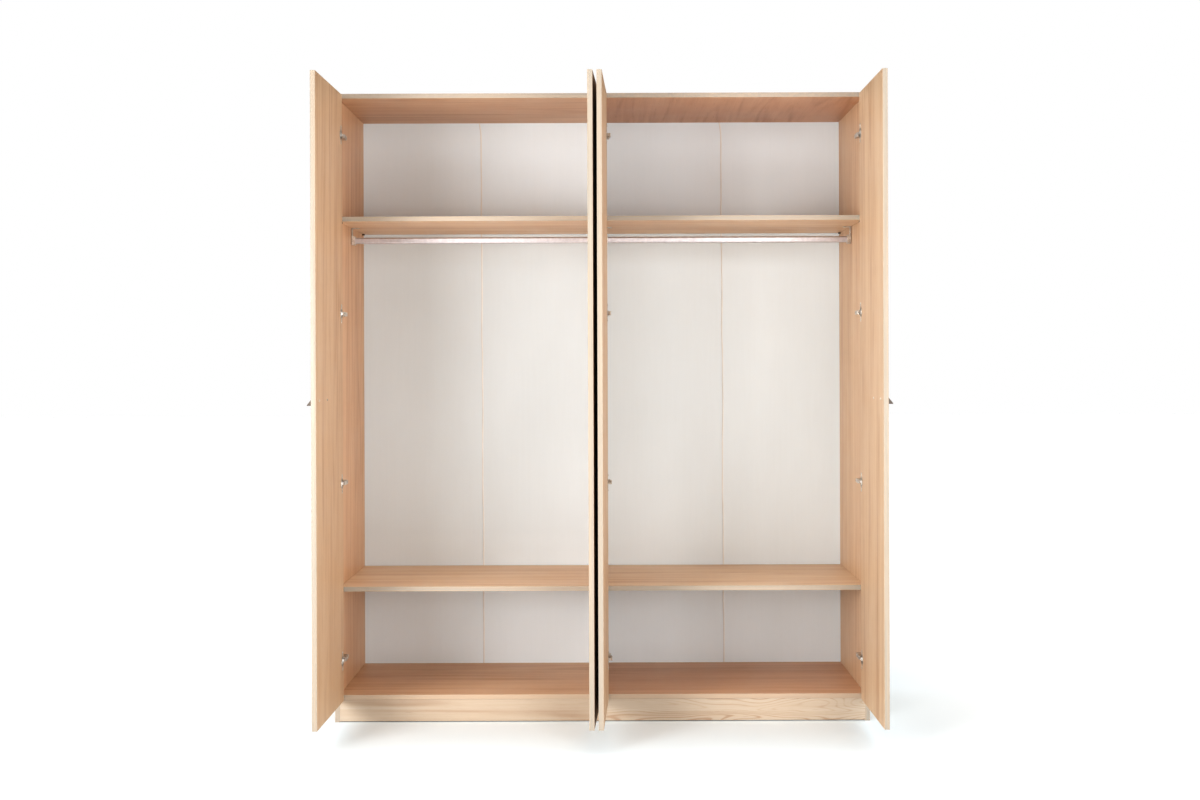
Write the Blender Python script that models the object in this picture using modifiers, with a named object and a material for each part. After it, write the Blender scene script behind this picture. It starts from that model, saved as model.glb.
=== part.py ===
"""Four-door wardrobe in two bays, with its doors standing open.

X runs to the right, Y to the back and Z up, in metres.  The origin is on the floor under the
middle of the centre partition.  The doors are built shut, and two nested empties for each door
then swing them open about the pins of their concealed hinges.
"""
import math

import bmesh
import bpy
from mathutils import Matrix, Vector

MM = 0.001
GAP = 0.3 * MM                      # between pieces that rest on each other

# Carcass
WIDTH = 1800 * MM
HEIGHT = 2115 * MM
FRONT = -280 * MM                   # front edges of the carcass boards
REAR = 276.7 * MM                   # rear edges of the carcass boards
BOARD = 16 * MM
PLINTH_LIFT = 3 * MM                # plinth boards above the floor
BOTTOM_LEVEL = 76 * MM              # underside of the bottom panels
LOWER_SHELF_LEVEL = 439 * MM
UPPER_SHELF_LEVEL = 1686 * MM
SHELF_SETBACK = 6 * MM
SHELF_REAR = 275.2 * MM
BACK_THICKNESS = 3 * MM
BACK_LOW = 60 * MM
BACK_INSET = 2 * MM                 # from a back board's outer edge to the carcass side
BACK_MIDDLE_GAP = 0.5 * MM          # from a back board's inner edge to the partition's middle
BACK_HIGH = HEIGHT - BACK_INSET
BACK_FOLD = (1.6 * MM, 2.0 * MM)     # width and depth of the fold line in a back board
INNER = WIDTH / 2 - BOARD           # inner face of a side panel

# Doors
DOOR_WIDTH = 447 * MM
DOOR_LOW = 75.5 * MM
DOOR_HEIGHT = 2035 * MM
DOOR_GAP = 3 * MM                   # between a shut door and the carcass
HINGE_LEVELS = [212 * MM, 805 * MM, 1374 * MM, 1973 * MM]

# Concealed hinges.  "edge" is the shut door's hinge edge, measured from the inner face of the
# upright into the bay; at 90 degrees the door's inner face stands at "open_face", its hinge edge
# "open_edge" in front of the carcass.  "pin" is the cup pin's distance from the hinge edge and
# "nose" the arm pin's distance in front of the carcass.
FULL_OVERLAY = {"edge": -14.5 * MM, "open_face": 15 * MM, "open_edge": 8.9 * MM, "pin": 12.3 * MM,
                "nose": 1.7 * MM, "belly": 1.0, "pin_half": 10.2 * MM}
HALF_OVERLAY = {"edge": -6.5 * MM, "open_face": 12.5 * MM, "open_edge": 8.0 * MM, "pin": 9.5 * MM,
                "nose": 3.0 * MM, "belly": 0.75, "pin_half": 6.0 * MM}
PIN_DEPTH = 3.9 * MM                # cup pin below the door's inner face
PIN_RADIUS = 1.4 * MM
CUP_CENTRE = 22.5 * MM              # from the hinge edge
CUP_RADIUS = 17.2 * MM
CUP_WALL = 0.8 * MM
CUP_DEPTH = 12.2 * MM
CUP_RIM = 18.4 * MM
CUP_FLANGE = 0.8 * MM
CUP_WING = (12 * MM, 64 * MM)
CUP_SCREW_SPACING = 52 * MM
CUP_SIDES = 12
CUP_SHANK = 10 * MM                 # screws that hold a cup, below its flange
RECESS_CLEARANCE = 0.6 * MM
ARM_HALF = 6.5 * MM
ARM_SLOT_HALF = 4.5 * MM
ARM_SLOT_REACH = 8 * MM             # round the pin, and 5 mm behind it
ARM_SLOT_BACK = 5 * MM
ARM_NOSE = 3.0 * MM
ARM_REAR = 58 * MM                  # behind the carcass front, as the next five
ARM_FLAT = 30 * MM
ARM_CRANK = 16 * MM
BASE_SPAN = (18 * MM, 62 * MM)
ARM_RISE = 16.5 * MM                # above the mounting plate
CRANK_START = 12 * MM               # pin distance from the upright at which the arm is straight
CRANK_SHARE = 0.3
PIN_PLAY = 0.5 * MM
LINK_HALF = 4.0 * MM
LINK_THICKNESS = 1.8 * MM
PLATE_THICKNESS = 4 * MM
PLATE_SCREW_LINE = 37 * MM          # behind the carcass front
PLATE_SCREW_SPACING = 32 * MM
PLATE_WING = 6 * MM                 # half the width of a plate's wings, and round its screws
LINK_LEVEL = 2                      # index of the hinge that carries a door's modelled link

# Doors from left to right: upright's inner face, side it hinges on, hinge type, resting angle
DOORS = [
    {"name": "door_1", "face": -INNER, "side": 1, "hinge": FULL_OVERLAY, "open": 91},
    {"name": "door_2", "face": -BOARD / 2, "side": -1, "hinge": HALF_OVERLAY, "open": 87.5},
    {"name": "door_3", "face": BOARD / 2, "side": 1, "hinge": HALF_OVERLAY, "open": 92},
    {"name": "door_4", "face": INNER, "side": -1, "hinge": FULL_OVERLAY, "open": 90},
]

# Lip pulls on the two outer doors
PULL_LENGTH = 150 * MM
PULL_FROM_EDGE = 38 * MM
PULL_LOW = 1076.5 * MM
PULL_HEIGHT = 22.5 * MM
PULL_REACH = 20 * MM
PULL_LIP = 2.5 * MM
PULL_WALL = 2.5 * MM
PULL_TOP_REACH = 4 * MM
PULL_ROOT = 3.5 * MM                # metal left between the finger pocket and the door
PULL_POCKET = (2.5 * MM, 8 * MM)    # heights of the pocket at the lip and at the root
PULL_SCREW_LEVEL = 1092 * MM
PULL_SCREW_SPACING = 128 * MM

# Hanging rails
RAIL_Y = -10 * MM
RAIL_Z = 1641 * MM
RAIL_SIZE = (14 * MM, 22 * MM)
RAIL_WALL = 1.5 * MM
RAIL_CORNER = 5 * MM
BRACKET_STANDOFF = 3 * MM
BRACKET_PLATE = 2 * MM
BRACKET_SOCKET = (22 * MM, 30 * MM)
BRACKET_REACH = 10 * MM
BRACKET_FLANGE = 26 * MM
BRACKET_SCREWS = ((11 * MM, -8 * MM), (21 * MM, 8 * MM))
BRACKET_SCREW_DEPTH = 10 * MM
BRACKET_LAP = 0.5 * MM              # between the pieces of a bracket, so that they join
FLANGE_SIDE = 2 * MM

# Screws, each joined to the piece that it fastens
PIN_SIDES = 6
SCREW_RADIUS = 1.5 * MM
SCREW_HEAD = 3.4 * MM
SCREW_DOME = 1.3 * MM
SCREW_IN_BOARD = 6.5 * MM
HOLE_CLEARANCE = 0.35 * MM

UP = Vector((0, 0, 1))


def clear_scene():
    for old in list(bpy.data.objects):
        bpy.data.objects.remove(old)


def new_collection(name):
    collection = bpy.data.collections.new(name)
    bpy.context.scene.collection.children.link(collection)
    return collection


def new_material(name, colour, roughness, metallic=0.0):
    material = bpy.data.materials.new(name)
    material.use_nodes = True
    shader = material.node_tree.nodes["Principled BSDF"]
    shader.inputs["Base Color"].default_value = (*colour, 1)
    shader.inputs["Roughness"].default_value = roughness
    shader.inputs["Metallic"].default_value = metallic
    material.diffuse_color = (*colour, 1)
    return material


clear_scene()
WARDROBE = new_collection("wardrobe")
CUTTERS = new_collection("cutters")
OAK = new_material("oak_decor", (0.66, 0.46, 0.30), 0.45)
BACKING = new_material("backing_board", (0.74, 0.72, 0.68), 0.5)
STEEL = new_material("nickel_steel", (0.62, 0.61, 0.59), 0.25, 1.0)
ALUMINIUM = new_material("aluminium", (0.70, 0.70, 0.70), 0.3, 1.0)
BRONZE = new_material("dark_bronze", (0.13, 0.10, 0.08), 0.45, 0.6)


# ---------------------------------------------------------------- building blocks

def add_object(name, data, material, collection=WARDROBE, parent=None):
    piece = bpy.data.objects.new(name, data)
    collection.objects.link(piece)
    if material:
        data.materials.clear()
        data.materials.append(material)
    piece.parent = parent
    return piece


def box_mesh(low, high):
    """A box between two corners."""
    low = Vector(low)
    size = Vector(high) - low
    place = Matrix.Translation(low + size / 2) @ Matrix.Diagonal((*size, 1))
    bm = bmesh.new()
    bmesh.ops.create_cube(bm, size=1, matrix=place)
    mesh = bpy.data.meshes.new("box")
    bm.to_mesh(mesh)
    bm.free()
    return mesh


def rod_mesh(start, end, radius, sides):
    """A closed cylinder from start to end."""
    start = Vector(start)
    run = Vector(end) - start
    place = Matrix.Translation(start + run / 2) @ UP.rotation_difference(run).to_matrix().to_4x4()
    bm = bmesh.new()
    bmesh.ops.create_cone(bm, cap_ends=True, segments=sides, radius1=radius, radius2=radius,
                          depth=run.length, matrix=place)
    mesh = bpy.data.meshes.new("rod")
    bm.to_mesh(mesh)
    bm.free()
    return mesh


def joined(meshes, name="joined"):
    """One mesh holding several, each left as a body of its own."""
    bm = bmesh.new()
    for mesh in meshes:
        bm.from_mesh(mesh)
    result = bpy.data.meshes.new(name)
    bm.to_mesh(result)
    bm.free()
    return result


def placed(mesh, matrix):
    """A copy of a mesh moved by a matrix, turned right side out if the matrix mirrors it."""
    copy = mesh.copy()
    copy.transform(matrix)
    if matrix.determinant() < 0:
        copy.flip_normals()
    return copy


def evaluated(piece):
    """The finished mesh of an object with its modifiers, after which the object is removed."""
    graph = bpy.context.evaluated_depsgraph_get()
    mesh = bpy.data.meshes.new_from_object(piece.evaluated_get(graph))
    bm = bmesh.new()
    bm.from_mesh(mesh)
    bmesh.ops.remove_doubles(bm, verts=bm.verts, dist=0.01 * MM)
    bm.to_mesh(mesh)
    bm.free()
    bpy.data.objects.remove(piece)
    return mesh


def add_boolean(piece, cutter, operation):
    cutter.hide_render = True
    cutter.display_type = 'WIRE'
    modifier = piece.modifiers.new(operation.lower(), 'BOOLEAN')
    modifier.operation = operation
    modifier.solver = 'EXACT'
    modifier.object = cutter


def combined(mesh, others, operation):
    """The union of a mesh with others, or the mesh with the others cut out of it."""
    piece = add_object("blank", mesh, None, CUTTERS)
    tools = []
    for other in others:
        tool = add_object("tool", other, None, CUTTERS)
        add_boolean(piece, tool, operation)
        tools.append(tool)
    result = evaluated(piece)
    for tool in tools:
        bpy.data.objects.remove(tool)
    return result


def outline_mesh(points, low, high):
    """A flat outline in X and Y, extruded from Z = low to Z = high."""
    curve = bpy.data.curves.new("outline", 'CURVE')
    curve.dimensions = '2D'
    curve.fill_mode = 'BOTH'
    curve.extrude = (high - low) / 2
    spline = curve.splines.new('POLY')
    spline.points.add(len(points) - 1)
    for point, (x, y) in zip(spline.points, points):
        point.co = (x, y, 0, 1)
    spline.use_cyclic_u = True
    piece = add_object("outline", curve, None, CUTTERS)
    piece.location.z = (high + low) / 2
    bpy.context.view_layer.update()
    mesh = placed(evaluated(piece), Matrix.Translation((0, 0, (high + low) / 2)))
    bm = bmesh.new()
    bm.from_mesh(mesh)
    bmesh.ops.recalc_face_normals(bm, faces=bm.faces)
    bm.to_mesh(mesh)
    bm.free()
    return mesh


def turned_mesh(profile, sides):
    """A solid turned about Z from (radius, height) points that run down its outer side."""
    mesh = bpy.data.meshes.new("profile")
    points = [(radius, 0, height) for radius, height in profile]
    mesh.from_pydata(points, [(i, i + 1) for i in range(len(profile) - 1)], [])
    piece = add_object("turned", mesh, None, CUTTERS)
    screw = piece.modifiers.new("turn", 'SCREW')
    screw.steps = sides
    screw.render_steps = sides
    screw.use_merge_vertices = True
    screw.merge_threshold = 0.01 * MM
    return evaluated(piece)


def hole(point, direction, depth, radius, sides=PIN_SIDES):
    """A blind hole's cutter: depth into the material along direction, mouth at point."""
    point = Vector(point)
    direction = Vector(direction).normalized()
    return rod_mesh(point - direction * MM, point + direction * depth, radius, sides)


def screw_hole(point, direction, depth):
    return hole(point, direction, depth + GAP, SCREW_RADIUS + HOLE_CLEARANCE)


def add_panel(name, low, high, material, holes=(), origin=None):
    """A board with its drilled holes, located at its centre or at a given origin."""
    origin = Vector(origin) if origin else (Vector(low) + Vector(high)) / 2
    shift = Matrix.Translation(-origin)
    board = add_object(name, placed(box_mesh(low, high), shift), material)
    board.location = origin
    if holes:
        cutter = add_object(name + "_holes", placed(joined(holes), shift), None, CUTTERS)
        cutter.location = origin
        add_boolean(board, cutter, 'DIFFERENCE')
    return board


# ---------------------------------------------------------------- carcass layout

BAYS = [("left", -INNER, -BOARD / 2), ("right", BOARD / 2, INNER)]
UPRIGHTS = {
    "side_panel_left": (-WIDTH / 2, -INNER),
    "centre_partition": (-BOARD / 2, BOARD / 2),
    "side_panel_right": (INNER, WIDTH / 2),
}
TOP_LEVEL = HEIGHT - BOARD
UPRIGHT_HOLES = {name: [] for name in UPRIGHTS}
SHELF_HOLES = {bay: [] for bay, _, _ in BAYS}
MIRROR_X = Matrix.Diagonal((-1, 1, 1, 1))


# ---------------------------------------------------------------- hinges

def linkage(hinge):
    """Cup pin (door shut), arm pin and the link's turn while the door opens by 90 degrees."""
    shut = Vector((hinge["edge"] + hinge["pin"], -DOOR_GAP - PIN_DEPTH))
    opened = Vector((hinge["open_face"] - PIN_DEPTH, -hinge["open_edge"] - hinge["pin"]))
    middle = (shut + opened) / 2
    step = opened - shut
    square = Vector((-step.y, step.x))
    arm_pin = middle + square * ((-hinge["nose"] - middle.y) / square.y)
    start = shut - arm_pin
    end = opened - arm_pin
    turn = math.atan2(start.x * end.y - start.y * end.x, start.dot(end))
    return shut, arm_pin, turn


def link_mesh(hinge):
    """A link in the hinge frame, door shut: a hooked strip between two pins."""
    shut, arm_pin, _ = linkage(hinge)
    along = arm_pin - shut
    deep = Vector((along.y, -along.x)).normalized()
    hook = [(0, 0), (0.16, 5.6), (0.33, 6.8), (0.55, 6.2), (0.78, 4.5), (0.96, 2.0), (1, 0)]
    path = [shut + along * share + deep * (rise * MM * hinge["belly"]) for share, rise in hook]
    upper = []
    lower = []
    for i, point in enumerate(path):
        run = (path[min(i + 1, len(path) - 1)] - path[max(i - 1, 0)]).normalized()
        side = Vector((-run.y, run.x)) * (LINK_THICKNESS / 2)
        upper.append(tuple(point + side))
        lower.append(tuple(point - side))
    strip = outline_mesh(upper + lower[::-1], -LINK_HALF, LINK_HALF)
    pins = []
    for centre, half in ((shut, hinge["pin_half"]), (arm_pin, ARM_HALF - 0.2 * MM)):
        pins.append(rod_mesh((*centre, -half), (*centre, half), PIN_RADIUS, PIN_SIDES))
    return combined(strip, pins, 'UNION')


def plate_shanks(low, high):
    """The two screws of a mounting plate, from X = low to X = high."""
    shanks = []
    for z in (-PLATE_SCREW_SPACING / 2, PLATE_SCREW_SPACING / 2):
        start = (low, PLATE_SCREW_LINE, z)
        end = (high, PLATE_SCREW_LINE, z)
        shanks.append(rod_mesh(start, end, SCREW_RADIUS, PIN_SIDES))
    return shanks


def arm_mesh(hinge, shanks):
    """A hinge arm clipped on its cross plate: X into the bay from the upright, Y to the back."""
    _, pin, _ = linkage(hinge)
    plate_top = GAP + PLATE_THICKNESS
    seat = plate_top - MM
    top = plate_top + ARM_RISE
    crank = top + (pin.x - CRANK_START) * CRANK_SHARE
    nose = []
    for step in range(5):
        angle = math.pi + math.pi * step / 4
        nose.append((pin.x + ARM_NOSE * math.cos(angle), pin.y + ARM_NOSE * math.sin(angle)))
    outline = [(seat, ARM_REAR), (seat, ARM_CRANK)] + nose
    outline += [(crank, ARM_CRANK), (top, ARM_FLAT), (top, ARM_REAR)]
    bar = outline_mesh(outline, -ARM_HALF, ARM_HALF)
    base_half = ARM_HALF - GAP
    base = box_mesh((GAP, BASE_SPAN[0], -base_half), (plate_top, BASE_SPAN[1], base_half))
    wing_half = PLATE_SCREW_SPACING / 2 + PLATE_WING
    wing = box_mesh((GAP, PLATE_SCREW_LINE - PLATE_WING, -wing_half),
                    (plate_top - GAP, PLATE_SCREW_LINE + PLATE_WING, wing_half))
    body = combined(bar, [base, wing] + shanks, 'UNION')
    slot = box_mesh((pin.x - ARM_SLOT_REACH, pin.y - ARM_SLOT_REACH, -ARM_SLOT_HALF),
                    (pin.x + ARM_SLOT_REACH, pin.y + ARM_SLOT_BACK, ARM_SLOT_HALF))
    eye_end = Vector((*pin, ARM_HALF + MM))
    eye = rod_mesh((*pin, -eye_end.z), eye_end, PIN_RADIUS + PIN_PLAY, PIN_SIDES)
    return combined(body, [slot, eye], 'DIFFERENCE')


def cup_mesh():
    """A hinge cup with its two screws: flange on Z = 0, Y along the door's height."""
    top = GAP + CUP_FLANGE
    profile = [(0, top), (CUP_RIM, top), (CUP_RIM, GAP), (CUP_RADIUS, GAP)]
    profile += [(CUP_RADIUS, -CUP_DEPTH), (0, -CUP_DEPTH)]
    body = turned_mesh(profile, CUP_SIDES)
    half_width, half_height = CUP_WING[0] / 2, CUP_WING[1] / 2
    parts = [box_mesh((-half_width, -half_height, GAP), (half_width, half_height, top))]
    for y in (-CUP_SCREW_SPACING / 2, CUP_SCREW_SPACING / 2):
        parts.append(rod_mesh((0, y, -CUP_SHANK), (0, y, top - GAP), SCREW_RADIUS, PIN_SIDES))
    solid = combined(body, parts, 'UNION')
    bore = rod_mesh((0, 0, CUP_WALL - CUP_DEPTH), (0, 0, CUP_DEPTH), CUP_RADIUS - CUP_WALL, CUP_SIDES)
    return combined(solid, [bore], 'DIFFERENCE')


# ---------------------------------------------------------------- doors

def door_frame(door, level=0.0):
    """World matrix of a hinge frame: X into the bay from the upright's face, Y to the back."""
    place = Matrix.Translation((door["face"], FRONT, level))
    return place @ Matrix.Diagonal((door["side"], 1, 1, 1))


def door_point(door, across, depth, level):
    """World point on a shut door: across from the hinge edge, depth below its inner face."""
    point = Vector((door["hinge"]["edge"] + across, -DOOR_GAP - depth, level))
    return door_frame(door) @ point


def add_pivot(name, point, angle, parent=None):
    pivot = bpy.data.objects.new(name, None)
    WARDROBE.objects.link(pivot)
    pivot.parent = parent
    pivot.location = point
    pivot.rotation_euler.z = angle
    return pivot


def hang(piece, pivot, pivot_point):
    """Hangs a piece that lies in world coordinates, door shut, on a pivot."""
    piece.parent = pivot
    piece.location = piece.location - pivot_point
    for modifier in piece.modifiers:
        hang(modifier.object, pivot, pivot_point)


def build_door(door):
    """One door with its cups, its link and, where it has one, its pull."""
    hinge = door["hinge"]
    side = door["side"]
    name = door["name"]
    shut, arm_pin, turn = linkage(hinge)
    arm_point = door_frame(door) @ Vector((*arm_pin, 0))
    cup_point = door_frame(door) @ Vector((*shut, 0))
    swing = math.radians(door["open"])
    link_turn = turn * swing / (math.pi / 2)
    link_pivot = add_pivot(name + "_link_pivot", arm_point, side * link_turn)
    door_turn = -side * (swing + link_turn)
    door_pivot = add_pivot(name + "_cup_pivot", cup_point - arm_point, door_turn, link_pivot)

    into_door = Vector((0, -1, 0))
    cup = cup_mesh()
    holes = []
    recess = CUP_RADIUS + RECESS_CLEARANCE
    for number, level in enumerate(HINGE_LEVELS, start=1):
        mouth = door_point(door, CUP_CENTRE, 0, level)
        piece = add_object(f"{name}_hinge_cup_{number}", cup, STEEL)
        piece.location = mouth
        piece.rotation_euler.x = -math.pi / 2
        hang(piece, door_pivot, cup_point)
        holes.append(hole(mouth, into_door, CUP_DEPTH + GAP, recess, CUP_SIDES))
        for z in (-CUP_SCREW_SPACING / 2, CUP_SCREW_SPACING / 2):
            holes.append(screw_hole(mouth + UP * z, into_door, CUP_SHANK))

    link = link_mesh(hinge)
    if side < 0:
        link = placed(link, MIRROR_X)
    link_piece = add_object(name + "_hinge_link", link, STEEL)
    link_piece.location = (door["face"], FRONT, HINGE_LEVELS[LINK_LEVEL])
    hang(link_piece, link_pivot, arm_point)

    if hinge is FULL_OVERLAY:
        hang(build_pull(door, holes), door_pivot, cup_point)
    corner = door_point(door, 0, 0, DOOR_LOW)
    opposite = door_point(door, DOOR_WIDTH, BOARD, DOOR_LOW + DOOR_HEIGHT)
    low = Vector(map(min, corner, opposite))
    high = Vector(map(max, corner, opposite))
    hang(add_panel(name, low, high, OAK, holes, origin=cup_point), door_pivot, cup_point)


def build_pull(door, holes):
    """A lip pull with its two screws, which pass through the door from its inner face."""
    across = DOOR_WIDTH - PULL_FROM_EDGE - PULL_LENGTH / 2
    centre = door_point(door, across, BOARD + GAP, PULL_LOW)
    half = PULL_LENGTH / 2
    profile = [(0, 0), (PULL_REACH, 0), (PULL_REACH, PULL_LIP)]
    profile += [(PULL_TOP_REACH, PULL_HEIGHT), (0, PULL_HEIGHT)]
    lip = PULL_REACH - PULL_WALL
    lip_height, root_height = PULL_POCKET
    pocket = [(PULL_ROOT, -MM), (lip, -MM), (lip - MM, lip_height)]
    pocket += [(PULL_REACH / 2, root_height), (PULL_ROOT, root_height)]
    body = outline_mesh(profile, -half, half)
    groove = outline_mesh(pocket, -half + 2 * PULL_WALL, half - 2 * PULL_WALL)
    stand = Matrix(((0, 0, 1, 0), (-1, 0, 0, 0), (0, 1, 0, 0), (0, 0, 0, 1)))
    blank = placed(combined(body, [groove], 'DIFFERENCE'), stand)
    inner = BOARD + 2 * GAP
    tip = -inner - PULL_ROOT + MM / 2
    head = [(0, SCREW_DOME), (SCREW_HEAD, 0), (SCREW_RADIUS, 0), (SCREW_RADIUS, tip), (0, tip)]
    facing = Matrix.Rotation(-math.pi / 2, 4, 'X')
    level = PULL_SCREW_LEVEL - PULL_LOW
    screws = []
    for offset in (-PULL_SCREW_SPACING / 2, PULL_SCREW_SPACING / 2):
        place = Matrix.Translation((offset, inner, level)) @ facing
        screws.append(placed(turned_mesh(head, PIN_SIDES), place))
        mouth = door_point(door, across + offset, 0, PULL_SCREW_LEVEL)
        holes.append(screw_hole(mouth, Vector((0, -1, 0)), BOARD + MM))
    pull = add_object(door["name"] + "_pull", combined(blank, screws, 'UNION'), BRONZE)
    pull.location = centre
    return pull


def build_arms():
    """Hinge arms: one by one on the side panels, in pairs through the centre partition."""
    for door in DOORS:
        if door["hinge"] is not FULL_OVERLAY:
            continue
        arm = arm_mesh(FULL_OVERLAY, plate_shanks(-SCREW_IN_BOARD, PLATE_THICKNESS / 2))
        if door["side"] < 0:
            arm = placed(arm, MIRROR_X)
        for number, level in enumerate(HINGE_LEVELS, start=1):
            piece = add_object(f"{door['name']}_hinge_arm_{number}", arm, STEEL)
            piece.location = (door["face"], FRONT, level)
            for z in (-PLATE_SCREW_SPACING / 2, PLATE_SCREW_SPACING / 2):
                mouth = Vector((door["face"], FRONT + PLATE_SCREW_LINE, level + z))
                wall = "side_panel_left" if door["side"] > 0 else "side_panel_right"
                into_wall = Vector((-door["side"], 0, 0))
                UPRIGHT_HOLES[wall].append(screw_hole(mouth, into_wall, SCREW_IN_BOARD))
    half = BOARD / 2
    single = placed(arm_mesh(HALF_OVERLAY, []), Matrix.Translation((half, 0, 0)))
    reach = half + PLATE_THICKNESS / 2
    pair = combined(single, [placed(single, MIRROR_X)] + plate_shanks(-reach, reach), 'UNION')
    for number, level in enumerate(HINGE_LEVELS, start=1):
        piece = add_object(f"centre_hinge_arms_{number}", pair, STEEL)
        piece.location = (0, FRONT, level)
        for z in (-PLATE_SCREW_SPACING / 2, PLATE_SCREW_SPACING / 2):
            mouth = Vector((half, FRONT + PLATE_SCREW_LINE, level + z))
            through = screw_hole(mouth, Vector((-1, 0, 0)), BOARD + MM)
            UPRIGHT_HOLES["centre_partition"].append(through)


# ---------------------------------------------------------------- hanging rails

LENGTHWISE = Matrix(((0, 0, 1, 0), (1, 0, 0, 0), (0, 1, 0, 0), (0, 0, 0, 1)))   # Z to X


def rounded_outline(width, height, corner, steps=2):
    """A rectangle with rounded corners, centred on the origin."""
    points = []
    for quarter, (sx, sy) in enumerate(((1, 1), (-1, 1), (-1, -1), (1, -1))):
        for step in range(steps + 1):
            angle = math.pi / 2 * (quarter + step / steps)
            points.append((sx * (width / 2 - corner) + corner * math.cos(angle),
                           sy * (height / 2 - corner) + corner * math.sin(angle)))
    return points


def bracket_mesh():
    """A rail bracket with its two screws: X into the bay, origin on the rail's axis."""
    near = BRACKET_STANDOFF
    far = BRACKET_STANDOFF + BRACKET_PLATE
    shelf = UPPER_SHELF_LEVEL - RAIL_Z - GAP
    half_y, half_z = BRACKET_SOCKET[0] / 2, BRACKET_SOCKET[1] / 2
    plate = box_mesh((near, -half_y, -half_z), (far, half_y, shelf - BRACKET_LAP))
    flange = box_mesh((near - BRACKET_LAP, -half_y - FLANGE_SIDE, shelf - BRACKET_PLATE),
                      (near + BRACKET_FLANGE, half_y + FLANGE_SIDE, shelf))
    block = box_mesh((near - BRACKET_LAP, -half_y - BRACKET_LAP, -half_z - BRACKET_LAP),
                     (far + BRACKET_REACH, half_y + BRACKET_LAP, half_z))
    shanks = []
    for x, y in BRACKET_SCREWS:
        start = (x, y, shelf - BRACKET_PLATE / 2)
        end = (x, y, shelf + BRACKET_SCREW_DEPTH)
        shanks.append(rod_mesh(start, end, SCREW_RADIUS, PIN_SIDES))
    body = combined(plate, [flange, block] + shanks, 'UNION')
    width, height = RAIL_SIZE
    pocket = outline_mesh(rounded_outline(width + 2 * GAP, height + 2 * GAP, RAIL_CORNER),
                          far, far + BRACKET_REACH + MM)
    return combined(body, [placed(pocket, LENGTHWISE)], 'DIFFERENCE')


def build_rails():
    """Each bay's rail between two brackets that hang from the upper shelf."""
    width, height = RAIL_SIZE
    end = BRACKET_STANDOFF + BRACKET_PLATE + GAP
    half = (INNER - BOARD / 2) / 2 - end
    tube = outline_mesh(rounded_outline(width, height, RAIL_CORNER), -half, half)
    inside = rounded_outline(width - 2 * RAIL_WALL, height - 2 * RAIL_WALL, RAIL_CORNER - RAIL_WALL)
    bore = outline_mesh(inside, -half - MM, half + MM)
    rail_mesh = placed(combined(tube, [bore], 'DIFFERENCE'), LENGTHWISE)
    bracket = bracket_mesh()
    mirrored = placed(bracket, MIRROR_X)
    for bay, low, high in BAYS:
        rail = add_object("hanging_rail_" + bay, rail_mesh, ALUMINIUM)
        rail.location = ((low + high) / 2, RAIL_Y, RAIL_Z)
        for hand, face, inward, mesh in (("left", low, 1, bracket), ("right", high, -1, mirrored)):
            piece = add_object(f"rail_bracket_{bay}_bay_{hand}", mesh, STEEL)
            piece.location = (face, RAIL_Y, RAIL_Z)
            for x, y in BRACKET_SCREWS:
                mouth = Vector((face + inward * x, RAIL_Y + y, UPPER_SHELF_LEVEL))
                SHELF_HOLES[bay].append(screw_hole(mouth, UP, BRACKET_SCREW_DEPTH))


# ---------------------------------------------------------------- boards

def build_boards():
    """Uprights, and the top, bottom, plinth, shelves and folding back of each bay."""
    for name, (low, high) in UPRIGHTS.items():
        add_panel(name, (low, FRONT, 0), (high, REAR, HEIGHT), OAK, UPRIGHT_HOLES[name])
    shelf_front = FRONT + SHELF_SETBACK
    back_front = REAR + GAP
    for bay, low, high in BAYS:
        left = low + GAP
        right = high - GAP
        add_panel("top_panel_" + bay, (left, FRONT, TOP_LEVEL), (right, REAR, HEIGHT), OAK)
        add_panel("bottom_panel_" + bay, (left, FRONT, BOTTOM_LEVEL),
                  (right, REAR, BOTTOM_LEVEL + BOARD), OAK)
        add_panel("plinth_" + bay, (left, FRONT, PLINTH_LIFT),
                  (right, FRONT + BOARD, BOTTOM_LEVEL - GAP), OAK)
        add_panel("lower_shelf_" + bay, (left, shelf_front, LOWER_SHELF_LEVEL),
                  (right, SHELF_REAR, LOWER_SHELF_LEVEL + BOARD), OAK)
        add_panel("upper_shelf_" + bay, (left, shelf_front, UPPER_SHELF_LEVEL),
                  (right, SHELF_REAR, UPPER_SHELF_LEVEL + BOARD), OAK, SHELF_HOLES[bay])
        if bay == "left":
            back_low = low - BOARD + BACK_INSET
            back_high = -BACK_MIDDLE_GAP
        else:
            back_low = BACK_MIDDLE_GAP
            back_high = high + BOARD - BACK_INSET
        middle = (low + high) / 2
        fold_width, fold_depth = BACK_FOLD
        fold = box_mesh((middle - fold_width / 2, back_front - MM, BACK_LOW - MM),
                        (middle + fold_width / 2, back_front + fold_depth, BACK_HIGH + MM))
        add_panel("back_panel_" + bay, (back_low, back_front, BACK_LOW),
                  (back_high, back_front + BACK_THICKNESS, BACK_HIGH), BACKING, [fold])


for entry in DOORS:
    build_door(entry)
build_arms()
build_rails()
build_boards()
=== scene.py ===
"""Looks of the four-door wardrobe: materials, fine fittings, camera and soft studio light.

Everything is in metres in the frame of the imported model: X to the right, Y to the back, Z up,
the floor at Z = 0 and the carcass front at the front edge of the plinth.
"""
import math

import bmesh
import bpy
from mathutils import Matrix, Vector


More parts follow.
